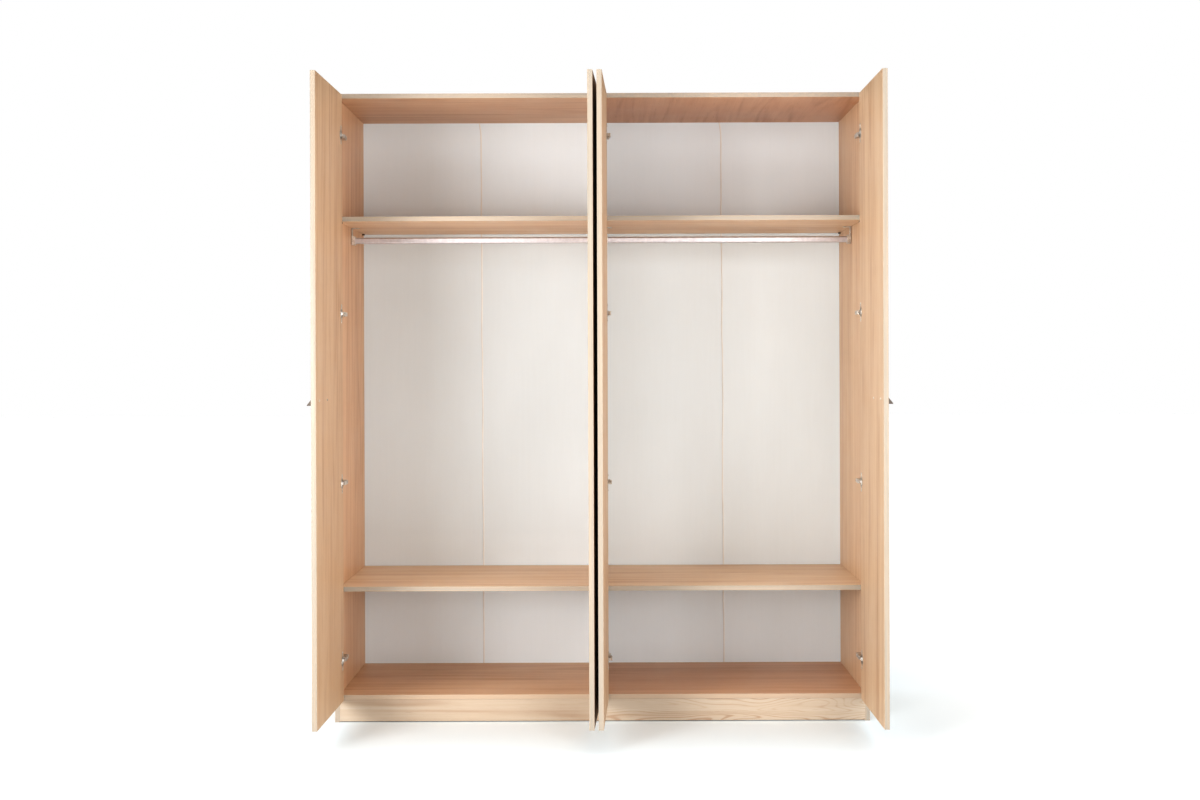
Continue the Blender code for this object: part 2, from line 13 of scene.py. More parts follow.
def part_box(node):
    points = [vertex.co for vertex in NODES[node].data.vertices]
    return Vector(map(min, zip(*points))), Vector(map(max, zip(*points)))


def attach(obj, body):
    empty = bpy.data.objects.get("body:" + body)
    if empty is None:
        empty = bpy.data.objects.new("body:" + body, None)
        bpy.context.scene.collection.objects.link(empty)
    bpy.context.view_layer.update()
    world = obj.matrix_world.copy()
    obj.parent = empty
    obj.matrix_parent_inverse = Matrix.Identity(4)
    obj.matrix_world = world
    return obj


for spare in ("Cube", "Light", "Camera"):
    if spare in bpy.data.objects:
        bpy.data.objects.remove(bpy.data.objects[spare])

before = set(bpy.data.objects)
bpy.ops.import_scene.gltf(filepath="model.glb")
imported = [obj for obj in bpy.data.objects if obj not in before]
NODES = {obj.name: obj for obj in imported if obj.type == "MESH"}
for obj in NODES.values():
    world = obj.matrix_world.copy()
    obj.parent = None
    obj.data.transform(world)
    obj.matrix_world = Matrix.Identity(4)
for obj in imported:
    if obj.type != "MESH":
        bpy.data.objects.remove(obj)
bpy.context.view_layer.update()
MM = 0.001

CARCASS_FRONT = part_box("plinth_left")[0].y


# ---------------------------------------------------------------- material helpers

def srgb(red, green, blue):
    """Linear colour from 0-255 display values."""
    channels = []
    for value in (red, green, blue):
        share = value / 255
        channels.append(share / 12.92 if share <= 0.04045 else ((share + 0.055) / 1.055) ** 2.4)
    return (*channels, 1)


class Graph:
    """A material's node tree with short calls for the nodes used here."""

    def __init__(self, name):
        self.material = bpy.data.materials.new(name)
        self.material.use_nodes = True
        self.tree = self.material.node_tree
        self.shader = self.tree.nodes["Principled BSDF"]

    def node(self, kind, inputs=None, **settings):
        made = self.tree.nodes.new(kind)
        for key, value in settings.items():
            setattr(made, key, value)
        for key, value in (inputs or {}).items():
            self.put(made.inputs[key], value)
        return made

    def put(self, socket, value):
        if isinstance(value, bpy.types.NodeSocket):
            self.tree.links.new(value, socket)
        else:
            socket.default_value = value

    def set(self, **values):
        for key, value in values.items():
            self.put(self.shader.inputs[key.replace("_", " ").title()], value)

    def coordinates(self, scale=(1, 1, 1), shift=(0, 0, 0)):
        place = self.node("ShaderNodeTexCoord").outputs["Object"]
        moved = self.node("ShaderNodeMapping", {"Vector": place, "Location": shift},
                          vector_type='POINT')
        scaled = self.node("ShaderNodeVectorMath", {0: moved.outputs[0], 1: scale},
                           operation='MULTIPLY')
        return scaled.outputs[0]

    def noise(self, vector, scale, detail=3.0, roughness=0.5, distortion=0.0):
        inputs = {"Vector": vector, "Scale": scale, "Detail": detail, "Roughness": roughness,
                  "Distortion": distortion}
        return self.node("ShaderNodeTexNoise", inputs).outputs["Fac"]

    def remap(self, value, low, high, to_low=0.0, to_high=1.0):
        inputs = {"Value": value, "From Min": low, "From Max": high, "To Min": to_low,
                  "To Max": to_high}
        return self.node("ShaderNodeMapRange", inputs).outputs["Result"]

    def math(self, operation, first, second):
        return self.node("ShaderNodeMath", {0: first, 1: second}, operation=operation).outputs[0]

    def mix(self, share, first, second, blend='MIX'):
        made = self.node("ShaderNodeMix", data_type='RGBA', blend_type=blend)
        self.put(made.inputs[0], share)
        self.put(made.inputs[6], first)
        self.put(made.inputs[7], second)
        return made.outputs[2]

    def ramp(self, value, stops):
        made = self.node("ShaderNodeValToRGB", {"Fac": value})
        elements = made.color_ramp.elements
        while len(elements) < len(stops):
            elements.new(0.5)
        for element, (position, colour) in zip(elements, stops):
            element.position = position
            element.color = colour
        return made.outputs["Color"]

    def facing(self, axis):
        """The surface normal's share along an axis of the piece itself."""
        normal = self.node("ShaderNodeTexCoord").outputs["Normal"]
        return self.node("ShaderNodeSeparateXYZ", {0: normal}).outputs[axis]

    def bump(self, height, strength, distance, normal=None):
        inputs = {"Height": height, "Strength": strength, "Distance": distance}
        if normal is not None:
            inputs["Normal"] = normal
        return self.node("ShaderNodeBump", inputs).outputs["Normal"]


# ---------------------------------------------------------------- materials

OAK_LIGHT = srgb(214, 187, 157)
OAK_MIDDLE = srgb(204, 173, 141)
OAK_DARK = srgb(187, 150, 117)
OAK_PORE = srgb(150, 110, 80)
OAK_EDGE = srgb(151, 145, 135)
OAK_EDGE_PALE = srgb(172, 155, 137)
# painted shade: darkens a door's show face, which faces the lights
SHOW_FACE_PAINTED_SHADE = (0.75, 0.74, 0.76, 1)

# Noise layers of the oak figure: frequency along the grain and across it, scale, detail,
# roughness and distortion
OAK_LAYERS = {
    "fade": (1.6, 14.0, 1.0, 2.0, 0.5, 0.0),
    "bands": (0.5, 9.0, 1.6, 4.0, 0.6, 0.3),
    "stripes": (0.7, 34.0, 1.3, 3.0, 0.55, 0.0),
    "streaks": (1.2, 110.0, 1.5, 5.0, 0.65, 0.0),
    "fibres": (6.0, 520.0, 1.5, 3.0, 0.6, 0.0),
    "dashes": (20.0, 620.0, 1.3, 2.0, 0.5, 0.0),
    "flecks": (9.0, 190.0, 1.2, 2.0, 0.5, 0.0),
}
OAK_SHARES = {"bands": 0.36, "stripes": 0.30, "streaks": 0.24, "fibres": 0.12}
OAK_RAMP = (0.17, 0.2)              # light and dark ends, below and above the middle tone
EDGE_SHARE = 0.9                    # of the banding colour on a board's edges


def oak(name, grain, thin, centre, figure=0.16, stretch=(0.45, 7.0), rings=62.0,
        flame_edge=2.2, tint=(1.0, 1.0, 1.0), front=0, banding=OAK_EDGE):
    """Oak-decor laminate with its grain along one axis and its thickness along another.

    centre places the pattern.  figure is the strength of the flame lines, stretch their frequency
    along and across the grain, rings how many there are and flame_edge how thin.  The tint
    multiplies the whole board's colour as painted light and shade, for how light falls on that
    board.  front is the sign of a door's show face along its thickness, the face that is darkened
    as painted shade because it faces the lights, and banding the colour of the edges.
    """
    graph = Graph(name)
    axis = "XYZ".index(grain)

    def stretched(along, across):
        scale = [across] * 3
        scale[axis] = along
        return graph.coordinates(tuple(scale), tuple(-value for value in centre))

    field = graph.noise(stretched(*stretch), 1.0, 1.6, 0.45, 0.25)
    wave = graph.math('SINE', graph.math('MULTIPLY', field, rings), 0.0)
    flame = graph.math('POWER', graph.remap(wave, -1.0, 1.0), flame_edge)
    layers = {layer: graph.noise(stretched(along, across), *shape)
              for layer, (along, across, *shape) in OAK_LAYERS.items()}
    fade = layers["fade"]
    flame = graph.math('MULTIPLY', flame, graph.remap(fade, 0.35, 0.65))
    dashes = graph.remap(layers["dashes"], 0.60, 0.72)
    flecks = graph.remap(layers["flecks"], 0.66, 0.76)
    tone = graph.math('MULTIPLY', flame, figure)
    for layer, share in OAK_SHARES.items():
        tone = graph.math('ADD', tone, graph.math('MULTIPLY', layers[layer], share))
    middle = 0.52 + figure * 0.18
    colour = graph.ramp(tone, [(middle - OAK_RAMP[0], OAK_LIGHT), (middle, OAK_MIDDLE),
                               (middle + OAK_RAMP[1], OAK_DARK)])
    pore_share = graph.math('MULTIPLY', dashes, graph.remap(fade, 0.3, 0.7, 0.10, 0.34))
    colour = graph.mix(pore_share, colour, OAK_PORE)
    colour = graph.mix(graph.math('MULTIPLY', flecks, 0.38), colour, OAK_PORE)
    # painted light and shade: the board's tint brightens, darkens or warms it for how light falls on
    # it
    colour = graph.mix(1.0, colour, (*tint, 1), 'MULTIPLY')

    facing = graph.facing(thin)
    if front:
        # painted shade: the show face is darkened because it faces the lights
        painted_shade_share = graph.remap(graph.math('MULTIPLY', facing, front), 0.4, 0.7)
        colour = graph.mix(painted_shade_share, colour, graph.mix(1.0, colour, SHOW_FACE_PAINTED_SHADE, 'MULTIPLY'))

    # banded edges: only the fine grain on the banding's own colour
    edge = graph.remap(graph.math('ABSOLUTE', facing, 0.0), 0.75, 0.35)
    fine = graph.remap(layers["streaks"], 0.35, 0.65, 0.0, 0.28)
    band = graph.mix(fine, banding, OAK_MIDDLE)
    colour = graph.mix(graph.math('MULTIPLY', edge, EDGE_SHARE), colour, band)

    rub = graph.noise(graph.coordinates(), 7.0, 4.0, 0.6)
    graph.set(Base_Color=colour, Roughness=graph.remap(rub, 0.3, 0.7, 0.40, 0.52))
    height = graph.math('SUBTRACT', graph.math('MULTIPLY', layers["fibres"], 0.5), dashes)
    graph.put(graph.shader.inputs["Normal"], graph.bump(height, 0.2, 0.12 * MM))
    graph.put(graph.shader.inputs["Specular IOR Level"], 0.42)
    return graph.material


BACK_MIDDLE_HEIGHT = 1.08
BACK_PAINTED_LIGHT_FADE = (0.5, 0.72)         # from the middle height, where a back begins and ends paling, as painted light


def backing(name, painted_light_lift):
    """Thin hardboard: off-white lacquer with a cloudy sheen in front, raw brown fibre behind.

    lift scales the lacquer's tone in the middle of the board: painted light that brightens the right
    board.  Its ends are paler, painted light for the top and bottom compartments, and its cool tone
    offsets the warm light thrown on it by the oak.
    """
    graph = Graph(name)
    clouds = graph.noise(graph.coordinates((1, 1, 0.6)), 2.2, 3.0, 0.5)
    brush = graph.noise(graph.coordinates((60, 60, 3.0)), 1.5, 4.0, 0.6)
    grain = graph.noise(graph.coordinates((1, 1, 1)), 900.0, 2.0, 0.5)
    fibre = graph.noise(graph.coordinates((1, 1, 1)), 260.0, 5.0, 0.7)
    tone = graph.math('ADD', graph.math('MULTIPLY', clouds, 0.85), graph.math('MULTIPLY', brush, 0.15))
    middle = graph.ramp(tone, [(0.3, srgb(209, 217, 221)), (0.7, srgb(217, 226, 231))])
    middle = graph.mix(1.0, middle, (painted_light_lift, painted_light_lift, painted_light_lift, 1), 'MULTIPLY')
    painted_light_ends = graph.ramp(tone, [(0.3, srgb(223, 233, 239)), (0.7, srgb(231, 241, 248))])
    place = graph.coordinates((1, 1, 1), (0, 0, -BACK_MIDDLE_HEIGHT))
    height = graph.node("ShaderNodeSeparateXYZ", {0: place}).outputs["Z"]
    painted_light_share = graph.remap(graph.math('ABSOLUTE', height, 0.0), *BACK_PAINTED_LIGHT_FADE)
    # painted light: the paler ends stand in for the brighter top and bottom compartments
    face = graph.mix(painted_light_share, middle, painted_light_ends)
    mottle = graph.math('ADD', graph.math('MULTIPLY', fibre, 0.7), graph.math('MULTIPLY', clouds, 0.3))
    raw = graph.ramp(mottle, [(0.35, srgb(122, 88, 60)), (0.65, srgb(158, 120, 86))])
    behind = graph.remap(graph.facing("Y"), 0.4, 0.6)
    sheen = graph.remap(clouds, 0.3, 0.7, 0.30, 0.40)
    rough = graph.math('ADD', graph.math('MULTIPLY', behind, 0.5), sheen)
    graph.set(Base_Color=graph.mix(behind, face, raw), Roughness=rough)
    waves = graph.bump(clouds, 0.35, 5 * MM)
    graph.put(graph.shader.inputs["Normal"], graph.bump(grain, 0.12, 0.1 * MM, waves))
    return graph.material


def metal(name, light, dark, roughness, brushed=(1, 1, 1), metallic=1.0):
    """Plated, anodised or painted metal with fine scratches and cloudy tarnish.

    brushed scales the scratches along each axis.
    """
    graph = Graph(name)
    clouds = graph.noise(graph.coordinates(), 60.0, 4.0, 0.6)
    lines = graph.noise(graph.coordinates(brushed), 900.0, 3.0, 0.6)
    graph.set(Base_Color=graph.ramp(clouds, [(0.35, dark), (0.65, light)]),
              Roughness=graph.remap(lines, 0.3, 0.7, roughness * 0.8, roughness * 1.25))
    graph.put(graph.shader.inputs["Metallic"], metallic)
    graph.put(graph.shader.inputs["Normal"], graph.bump(lines, 0.10, 0.05 * MM))
    return graph.material


def lacquer(name, light, dark):
    """Cloudy lacquer on the seams of the backs, in the painted shade or painted highlight given."""
    graph = Graph(name)
    clouds = graph.noise(graph.coordinates((1, 1, 0.4)), 30.0, 4.0, 0.6)
    graph.set(Base_Color=graph.ramp(clouds, [(0.35, dark), (0.65, light)]),
              Roughness=graph.remap(clouds, 0.3, 0.7, 0.35, 0.5))
    graph.put(graph.shader.inputs["Normal"], graph.bump(clouds, 0.2, 0.2 * MM))
    return graph.material


STEEL = metal("nickel_plate", srgb(234, 230, 224), srgb(180, 170, 158), 0.30, metallic=0.9)
ALUMINIUM = metal("anodised_aluminium", srgb(208, 203, 204), srgb(192, 187, 189), 0.46,
                  (0.02, 1, 1))
BRONZE = metal("dark_bronze_paint", srgb(92, 82, 74), srgb(76, 67, 60), 0.42, metallic=0.55)
# dark pins: the front ones are pins, the rear ones a dark thing put where there is only shade, painted
# shadow
PIN_BRONZE_AND_SHADOW = metal("shelf_pin_bronze_and_painted_shadow", srgb(84, 62, 50), srgb(60, 44, 35), 0.45, metallic=0.6)
# painted light: the right board's lift of 1.12 brightens its lacquer
BACKING = {"back_panel_left": backing("backing_board_left", 1.0),
           "back_panel_right": backing("backing_board_right", 1.12)}
# painted shade on the crease and painted highlight on the fold, beside the back's own lacquer
CREASE_PAINTED_SHADE = lacquer("back_crease_painted_shade", srgb(222, 217, 210), srgb(208, 201, 192))
FOLD_PAINTED_HIGHLIGHT = lacquer("back_fold_painted_highlight", srgb(238, 239, 236), srgb(228, 228, 224))

# Grain axis, thickness axis, pattern centre, then the pattern's own settings for each board.
# Each board's tint is painted light and shade: it brightens, darkens or warms the board for how
# light falls on it, with the shelves paler, the top and bottom panels redder for the shade and warm
# bounce light in the bays, and the plinths darker and cooler.
BOARDS = {
    "side_panel_left": ("Z", "X", (-0.9, 0.35, 0.6), {"tint": (1.14, 1.06, 1.01)}),
    "side_panel_right": ("Z", "X", (0.9, -0.45, 1.5), {"tint": (1.04, 1.03, 1.02)}),
    "centre_partition": ("Z", "X", (0.0, 0.5, 1.0), {}),
    "door_1": ("Z", "X", (-0.88, -0.15, 0.9), {"tint": (1.06, 1.05, 1.04), "front": -1}),
    "door_2": ("Z", "X", (-0.03, -0.9, 1.3), {"front": 1}),
    "door_3": ("Z", "X", (0.03, -0.1, 0.7), {"front": -1}),
    "door_4": ("Z", "X", (0.88, -0.62, 1.1), {"tint": (1.01, 1.03, 1.05), "front": 1}),
    "top_panel_left": ("X", "Z", (-0.5, 0.55, 2.1), {"tint": (1.0, 0.9, 0.84)}),
    "top_panel_right": ("Y", "Z", (0.75, 0.0, 2.1), {"tint": (1.0, 0.82, 0.76)}),
    "bottom_panel_left": ("X", "Z", (-0.3, 0.45, 0.1), {"tint": (1.1, 1.0, 0.92),
                                                             "banding": OAK_EDGE_PALE}),
    "bottom_panel_right": ("X", "Z", (0.6, -0.35, 0.1), {"tint": (1.06, 0.91, 0.85),
                                                              "banding": OAK_EDGE_PALE}),
    "lower_shelf_left": ("X", "Z", (-0.6, -0.42, 0.45), {"tint": (1.2, 1.24, 1.28)}),
    "lower_shelf_right": ("X", "Z", (0.3, 0.3, 0.45), {"tint": (1.19, 1.23, 1.27)}),
    "upper_shelf_left": ("X", "Z", (-0.4, -0.5, 1.7), {"tint": (1.16, 1.16, 1.17)}),
    "upper_shelf_right": ("X", "Z", (0.7, 0.5, 1.7), {"tint": (1.14, 1.14, 1.15)}),
    "plinth_left": ("X", "Y", (-0.5, -0.28, 0.35), {"tint": (0.75, 0.84, 0.97)}),
    "plinth_right": ("X", "Y", (0.42, -0.28, 0.035),
                     {"tint": (0.76, 0.85, 0.98), "figure": 0.42, "stretch": (1.9, 12.0),
                      "rings": 165.0, "flame_edge": 6.0}),
}

WELD_REACH = 0.01 * MM
SHARP_EDGE = math.radians(40)

# Widths of the rounded edges
DOOR_ROUND = 1.0 * MM
BOARD_ROUND = 0.5 * MM
BACK_ROUND = 0.2 * MM
STEEL_ROUND = 0.25 * MM
LINK_ROUND = 0.3 * MM
RAIL_ROUND = 0.3 * MM
PULL_ROUND = 0.6 * MM


def soften(piece, width):
    """Welds the imported triangles and rounds the sharp edges a little."""
    weld = piece.modifiers.new("weld", 'WELD')
    weld.merge_threshold = WELD_REACH
    bevel = piece.modifiers.new("round", 'BEVEL')
    bevel.width = width
    bevel.segments = 2
    bevel.limit_method = 'ANGLE'
    bevel.angle_limit = SHARP_EDGE


def dress(node, material, width):
    """Gives a CAD node its material and its rounded edges."""
    piece = NODES[node]
    piece.data.materials.clear()
    piece.data.materials.append(material)
    soften(piece, width)


for board, (grain, thin, centre, settings) in BOARDS.items():
    dress(board, oak("oak_" + board, grain, thin, centre, **settings),
          DOOR_ROUND if board.startswith("door") else BOARD_ROUND)
for node in NODES:
    if node in BACKING:
        dress(node, BACKING[node], BACK_ROUND)
    elif "hinge" in node or "bracket" in node:
        dress(node, STEEL, STEEL_ROUND)
    elif node.startswith("hanging_rail"):
        dress(node, ALUMINIUM, RAIL_ROUND)
    elif node.endswith("_pull"):
        dress(node, BRONZE, PULL_ROUND)


# ---------------------------------------------------------------- fine fittings

UP = Vector((0, 0, 1))
INNER = -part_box("top_panel_left")[0].x          # a side panel's inner face, less a hair's gap
HALF_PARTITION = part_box("centre_partition")[1].x
CUP_SCREW_OFFSET = 26 * MM
PLATE_SCREW_OFFSET = 16 * MM
PLATE_SCREW_BACK = 37 * MM                      # behind the carcass front
PLATE_TOP = 4.3 * MM
COVER_SCREWS_BACK = (24 * MM, 46 * MM)
COVER_SCREW_SEAT = 21.5 * MM
PULL_SCREW_OFFSET = 64 * MM
PULL_SCREW_LEVEL = 1092 * MM
PULL_SCREW_LIFT = 0.2 * MM
SAME_LEVEL = 5 * MM                             # closer than this, two hinges are the same one

# Arm cover: stations behind the carcass front with their share of the full section, in mm
COVER_STATIONS = [(13.0, 0.70), (13.8, 0.88), (15.5, 0.97), (19.0, 1.0), (52.0, 1.0),
                  (56.0, 0.97), (58.6, 0.86), (59.6, 0.66)]
COVER_SEAT = 6.0
COVER_CROWN = 21.6
COVER_HALF = 7.6
COVER_SHOULDER = 0.62                           # height of its sides, as a share of the crown
COVER_STEPS = 8

# Shelf pin: radius and height of its profile, from inside the upright outwards, in mm
PIN_PROFILE = [(1.2, -4), (2.4, -3.4), (2.5, 0), (3.6, 0.1), (3.7, 1.1), (2.6, 1.6), (2.5, 8),
               (1.9, 8.8)]
PIN_SIDES = 16
PIN_FROM_FRONT = 28 * MM
# the rear pins stand at a spot of shade under the shelf's rear corner: painted shadow
PIN_FROM_REAR = 34 * MM
PIN_DROP = 2.7 * MM                             # its axis under the shelf

# Bracket screws: from the bracket's end at the upright, and from its middle line
BRACKET_SCREWS = ((8.5 * MM, -8 * MM), (18.5 * MM, 8 * MM))
BRACKET_FLANGE = 2.3 * MM


def mesh_from(bm, name):
    bmesh.ops.recalc_face_normals(bm, faces=bm.faces)
    mesh = bpy.data.meshes.new(name)
    bm.to_mesh(mesh)
    bm.free()
    return mesh


def loft(rings, name):
    """A closed skin over rings of points, its ends filled."""
    bm = bmesh.new()
    loops = [[bm.verts.new(point) for point in ring] for ring in rings]
    for near, far in zip(loops, loops[1:]):
        for i in range(len(near)):
            j = (i + 1) % len(near)
            bm.faces.new((near[i], near[j], far[j], far[i]))
    bm.faces.new(loops[0])
    bm.faces.new(loops[-1])
    return mesh_from(bm, name)


def turned(profile, sides, name):
    """A solid turned about Z from (radius, height) points."""
    rings = []
    for radius, height in profile:
        turns = [2 * math.pi * k / sides for k in range(sides)]
        rings.append([(radius * math.cos(a), radius * math.sin(a), height) for a in turns])
    return loft(rings, name)


def crossed(mesh, reach, width, depth, top):
    """The mesh with a cross slot cut into its top."""
    blank = bpy.data.objects.new("blank", mesh)
    bpy.context.scene.collection.objects.link(blank)
    cutters = []
    for size in ((reach, width), (width, reach)):
        bm = bmesh.new()
        place = Matrix.Translation((0, 0, top)) @ Matrix.Diagonal((*size, depth * 2, 1))
        bmesh.ops.create_cube(bm, size=1, matrix=place)
        cutter = bpy.data.objects.new("cutter", mesh_from(bm, "cutter"))
        bpy.context.scene.collection.objects.link(cutter)
        cut = blank.modifiers.new("cut", 'BOOLEAN')
        cut.object = cutter
        cut.solver = 'EXACT'
        cutters.append(cutter)
    graph = bpy.context.evaluated_depsgraph_get()
    result = bpy.data.meshes.new_from_object(blank.evaluated_get(graph))
    for spare in [blank] + cutters:
        bpy.data.objects.remove(spare)
    return result


def screw_head(radius, dome):
    """A domed head with a cross slot, standing on Z = 0."""
    profile = [(radius, -0.2 * MM), (radius, dome * 0.25), (radius * 0.9, dome * 0.65),
               (radius * 0.6, dome * 0.95), (radius * 0.2, dome)]
    return crossed(turned(profile, 20, "head"), radius * 1.2, radius * 0.26, dome * 0.75, dome)


def stand(point, normal, turn=0.0):
    """The matrix that stands a mesh on a face, with its Z along the face's normal."""
    tilt = UP.rotation_difference(Vector(normal)).to_matrix().to_4x4()
    return Matrix.Translation(point) @ tilt @ Matrix.Rotation(turn, 4, 'Z')


def cluster(name, body, material, parts, smooth=30):
    """One piece made of copies of meshes, riding on a body."""
    bm = bmesh.new()
    for mesh, place in parts:
        copy = mesh.copy()
        copy.transform(place)
        bm.from_mesh(copy)
    mesh = mesh_from(bm, name)
    mesh.materials.append(material)
    mesh.shade_smooth()
    mesh.set_sharp_from_angle(angle=math.radians(smooth))
    piece = bpy.data.objects.new(name, mesh)
    bpy.context.scene.collection.objects.link(piece)
    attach(piece, body)
    return piece


def inner_face(door, side):
    """Normal of a door's inner face at rest, and the run of its width towards the free edge."""
    mesh = NODES[door].data
    towards = Vector((side, 0, 0))
    faces = [face for face in mesh.polygons if face.normal.dot(towards) > 0.9]
    normal = max(faces, key=lambda face: face.area).normal.copy()
    return normal, normal.cross(UP) * side


def spans(node, direction):
    """The least and the greatest reach of a node along a direction."""
    values = [vertex.co.dot(direction) for vertex in NODES[node].data.vertices]
    return min(values), max(values)


HINGES = range(1, 5)
DOOR_SIDES = {"door_1": 1, "door_2": -1, "door_3": 1, "door_4": -1}
CUP_HEAD = screw_head(3.6 * MM, 1.3 * MM)
PLATE_HEAD = screw_head(3.4 * MM, 1.2 * MM)
ARM_HEAD = screw_head(3.0 * MM, 1.0 * MM)
PULL_HEAD = screw_head(3.9 * MM, 1.7 * MM)


def add_door_fittings(door, side):
    """Adds the cup and pull screws and the other hinges' links.  Returns the hinges' levels."""
    normal, run = inner_face(door, side)
    heads = []
    levels = []
    for number in HINGES:
        cup = f"{door}_hinge_cup_{number}"
        across = sum(spans(cup, run)) / 2
        flange = spans(cup, normal)[1]
        low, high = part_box(cup)
        level = (low.z + high.z) / 2
        levels.append(level)
        for offset in (-CUP_SCREW_OFFSET, CUP_SCREW_OFFSET):
            point = run * across + normal * flange + UP * (level + offset)
            heads.append((CUP_HEAD, stand(point, normal, number * 0.9 + offset * 40)))
    if door + "_pull" in NODES:
        face = spans(door, normal)[1]
        low, high = spans(door + "_pull", run)
        middle = (low + high) / 2
        for offset in (-PULL_SCREW_OFFSET, PULL_SCREW_OFFSET):
            point = (run * (middle + offset) + normal * (face + PULL_SCREW_LIFT)
                     + UP * PULL_SCREW_LEVEL)
            heads.append((PULL_HEAD, stand(point, normal, 0.4 + offset * 9)))
    cluster(door + "_screws", door, STEEL, heads)
    link = NODES[door + "_hinge_link"]
    low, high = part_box(door + "_hinge_link")
    at = (low.z + high.z) / 2
    copies = [(link.data, Matrix.Translation((0, 0, level - at))) for level in levels
              if abs(level - at) > SAME_LEVEL]
    piece = cluster(door + "_other_links", door + "_links", STEEL, copies)
    soften(piece, LINK_ROUND)
    return levels


def arm_cover(side, face):
    """The crowned shell of a hinge arm, from an upright's face into the bay, at Z = 0."""
    rings = []
    for back, scale in COVER_STATIONS:
        half = COVER_HALF * scale
        ring = [(COVER_SEAT, -half)]
        for step in range(COVER_STEPS + 1):
            angle = math.pi * (1 - step / COVER_STEPS)
            share = COVER_SHOULDER + (1 - COVER_SHOULDER) * math.sin(angle)
            rise = (COVER_CROWN - COVER_SEAT) * scale * share
            ring.append((COVER_SEAT + rise, half * math.cos(angle)))
        ring.append((COVER_SEAT, half))
        rings.append([(face + side * x * MM, CARCASS_FRONT + back * MM, z * MM) for x, z in ring])
    return loft(rings, "cover")


def add_arm_fittings(name, faces, levels):
    """Arm covers with their two adjusting screws, and the mounting plates' screws."""
    covers = []
    heads = []
    for side, face in faces:
        shell = arm_cover(side, face)
        normal = Vector((side, 0, 0))
        for level in levels:
            covers.append((shell, Matrix.Translation((0, 0, level))))
            for back in COVER_SCREWS_BACK:
                point = Vector((face + side * COVER_SCREW_SEAT, CARCASS_FRONT + back, level))
                heads.append((ARM_HEAD, stand(point, normal, back * 70)))
            for offset in (-PLATE_SCREW_OFFSET, PLATE_SCREW_OFFSET):
                point = Vector((face + side * PLATE_TOP, CARCASS_FRONT + PLATE_SCREW_BACK,
                                level + offset))
                heads.append((PLATE_HEAD, stand(point, normal, offset * 60)))
    cluster(name + "_arm_covers", "carcass", STEEL, covers, 50)
    cluster(name + "_arm_screws", "carcass", STEEL, heads)


for door, side in DOOR_SIDES.items():
    hinge_levels = add_door_fittings(door, side)
add_arm_fittings("left_hinge", [(1, -INNER)], hinge_levels)
add_arm_fittings("right_hinge", [(-1, INNER)], hinge_levels)
add_arm_fittings("centre_hinge", [(1, HALF_PARTITION), (-1, -HALF_PARTITION)], hinge_levels)


def add_shelf_pins():
    """Dark pins under the four corners of every shelf; the rear ones stand where there is only shade,
    as painted shadow.
    """
    profile = [(radius * MM, height * MM) for radius, height in PIN_PROFILE]
    pin = turned(profile, PIN_SIDES, "pin")
    pins = []
    for bay in ("left", "right"):
        for shelf in ("lower_shelf_", "upper_shelf_"):
            low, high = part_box(shelf + bay)
            for side, face in ((1, low.x), (-1, high.x)):
                for y in (low.y + PIN_FROM_FRONT, high.y - PIN_FROM_REAR):
                    point = Vector((face, y, low.z - PIN_DROP))
                    pins.append((pin, stand(point, (side, 0, 0))))
    cluster("shelf_pins", "carcass", PIN_BRONZE_AND_SHADOW, pins)


def add_bracket_screws():
    """Screws that hold the rail brackets up against the shelves."""
    heads = []
    for bay in ("left", "right"):
        for hand, side in (("left", 1), ("right", -1)):
            low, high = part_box(f"rail_bracket_{bay}_bay_{hand}")
            face = low.x if side > 0 else high.x
            middle = (low.y + high.y) / 2
            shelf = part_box("upper_shelf_" + bay)[0].z
            for across, y in BRACKET_SCREWS:
                point = Vector((face + side * across, middle + y, shelf - BRACKET_FLANGE))
                heads.append((PLATE_HEAD, stand(point, (0, 0, -1), y * 90)))
    cluster("bracket_screws", "carcass", STEEL, heads)


RIBBON_STEPS = 160
RIBBON_ROOT = 0.05 * MM             # its edges, inside the board
JOG_HEIGHT = 1.28                   # where the seam steps sideways
JOG_SHARPNESS = 22
JOG_HALF = 1.6 * MM
TOP_KINK_LENGTH = 0.05
TOP_KINK = 5 * MM


def seam_shift(z, phase, top):
    """How far the seam strays sideways at a height: slow waves, a jog and a kink at the top."""
    waves = 1.1 * math.sin(z * 5.3 + phase) + 0.8 * math.sin(z * 13.7) + 0.4 * math.sin(z * 31 + 1)
    jog = JOG_HALF * math.tanh((JOG_HEIGHT - z) * JOG_SHARPNESS)
    kink = max(0.0, (z - (top - TOP_KINK_LENGTH)) / TOP_KINK_LENGTH) ** 1.5
    return waves * MM + jog - TOP_KINK * kink


def ribbon(name, centre, width, height, front, low, high, material):
    """A slightly wavy raised strip that runs up the face of a back board."""
    rings = []
    half = width / 2
    root = front + RIBBON_ROOT
    shoulder = front - height * 0.8
    for step in range(RIBBON_STEPS + 1):
        z = low + (high - low) * step / RIBBON_STEPS
        x = centre + seam_shift(z, centre, high)
        rings.append([(x - half, root, z), (x - half * 0.6, shoulder, z), (x, front - height, z),
                      (x + half * 0.6, shoulder, z), (x + half, root, z)])
    parts = [(loft(rings, name), Matrix.Identity(4))]
    cluster(name, "carcass", material, parts, 80)


CREASE_SIZE = (2.0 * MM, 0.15 * MM)             # width and height of the seam's low line
FOLD_SIZE = (2.6 * MM, 0.45 * MM)               # and of the rib beside it
FOLD_SHIFT = 2.6 * MM


